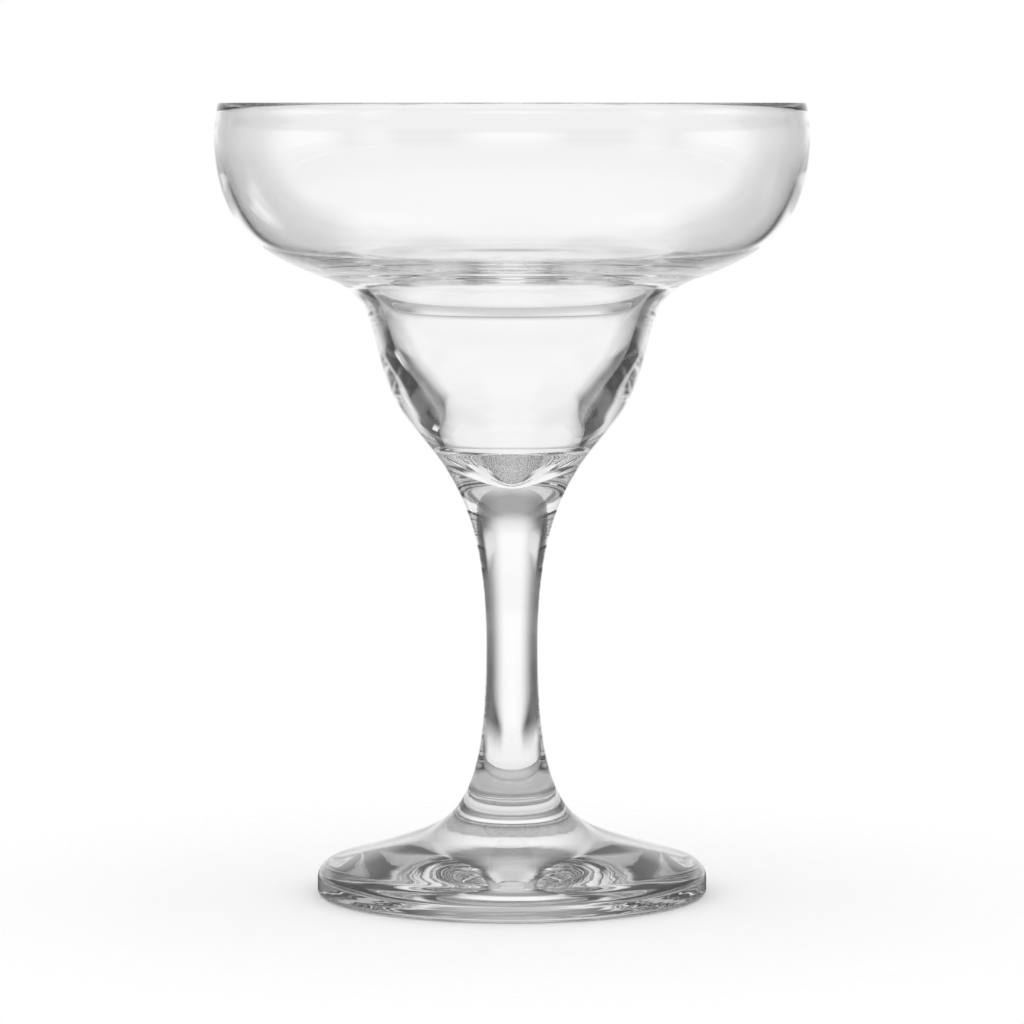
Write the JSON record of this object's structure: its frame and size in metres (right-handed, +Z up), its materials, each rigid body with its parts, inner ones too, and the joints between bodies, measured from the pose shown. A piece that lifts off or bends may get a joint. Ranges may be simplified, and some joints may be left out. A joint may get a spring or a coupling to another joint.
{
  "type": "margarita glass",
  "caption": "Clear stemmed margarita glass: a wide bowl steps down into a narrow thick-walled well, on a solid waisted stem and a round foot, for serving cocktails.",
  "frame": {"origin": "middle of the circle on which the foot rests, on the glass's axis", "axes": "+Z up along the glass's axis, from the foot to the rim; the glass is round, so X and Y are any two level directions"},
  "size_m": [0.12, 0.12, 0.1604],
  "materials": {
    "clear_glass": "clear, fire-polished"
  },
  "bodies": {
    "root": {"bowl": "clear_glass", "stem": "clear_glass", "foot": "clear_glass"}
  },
  "joints": []
}
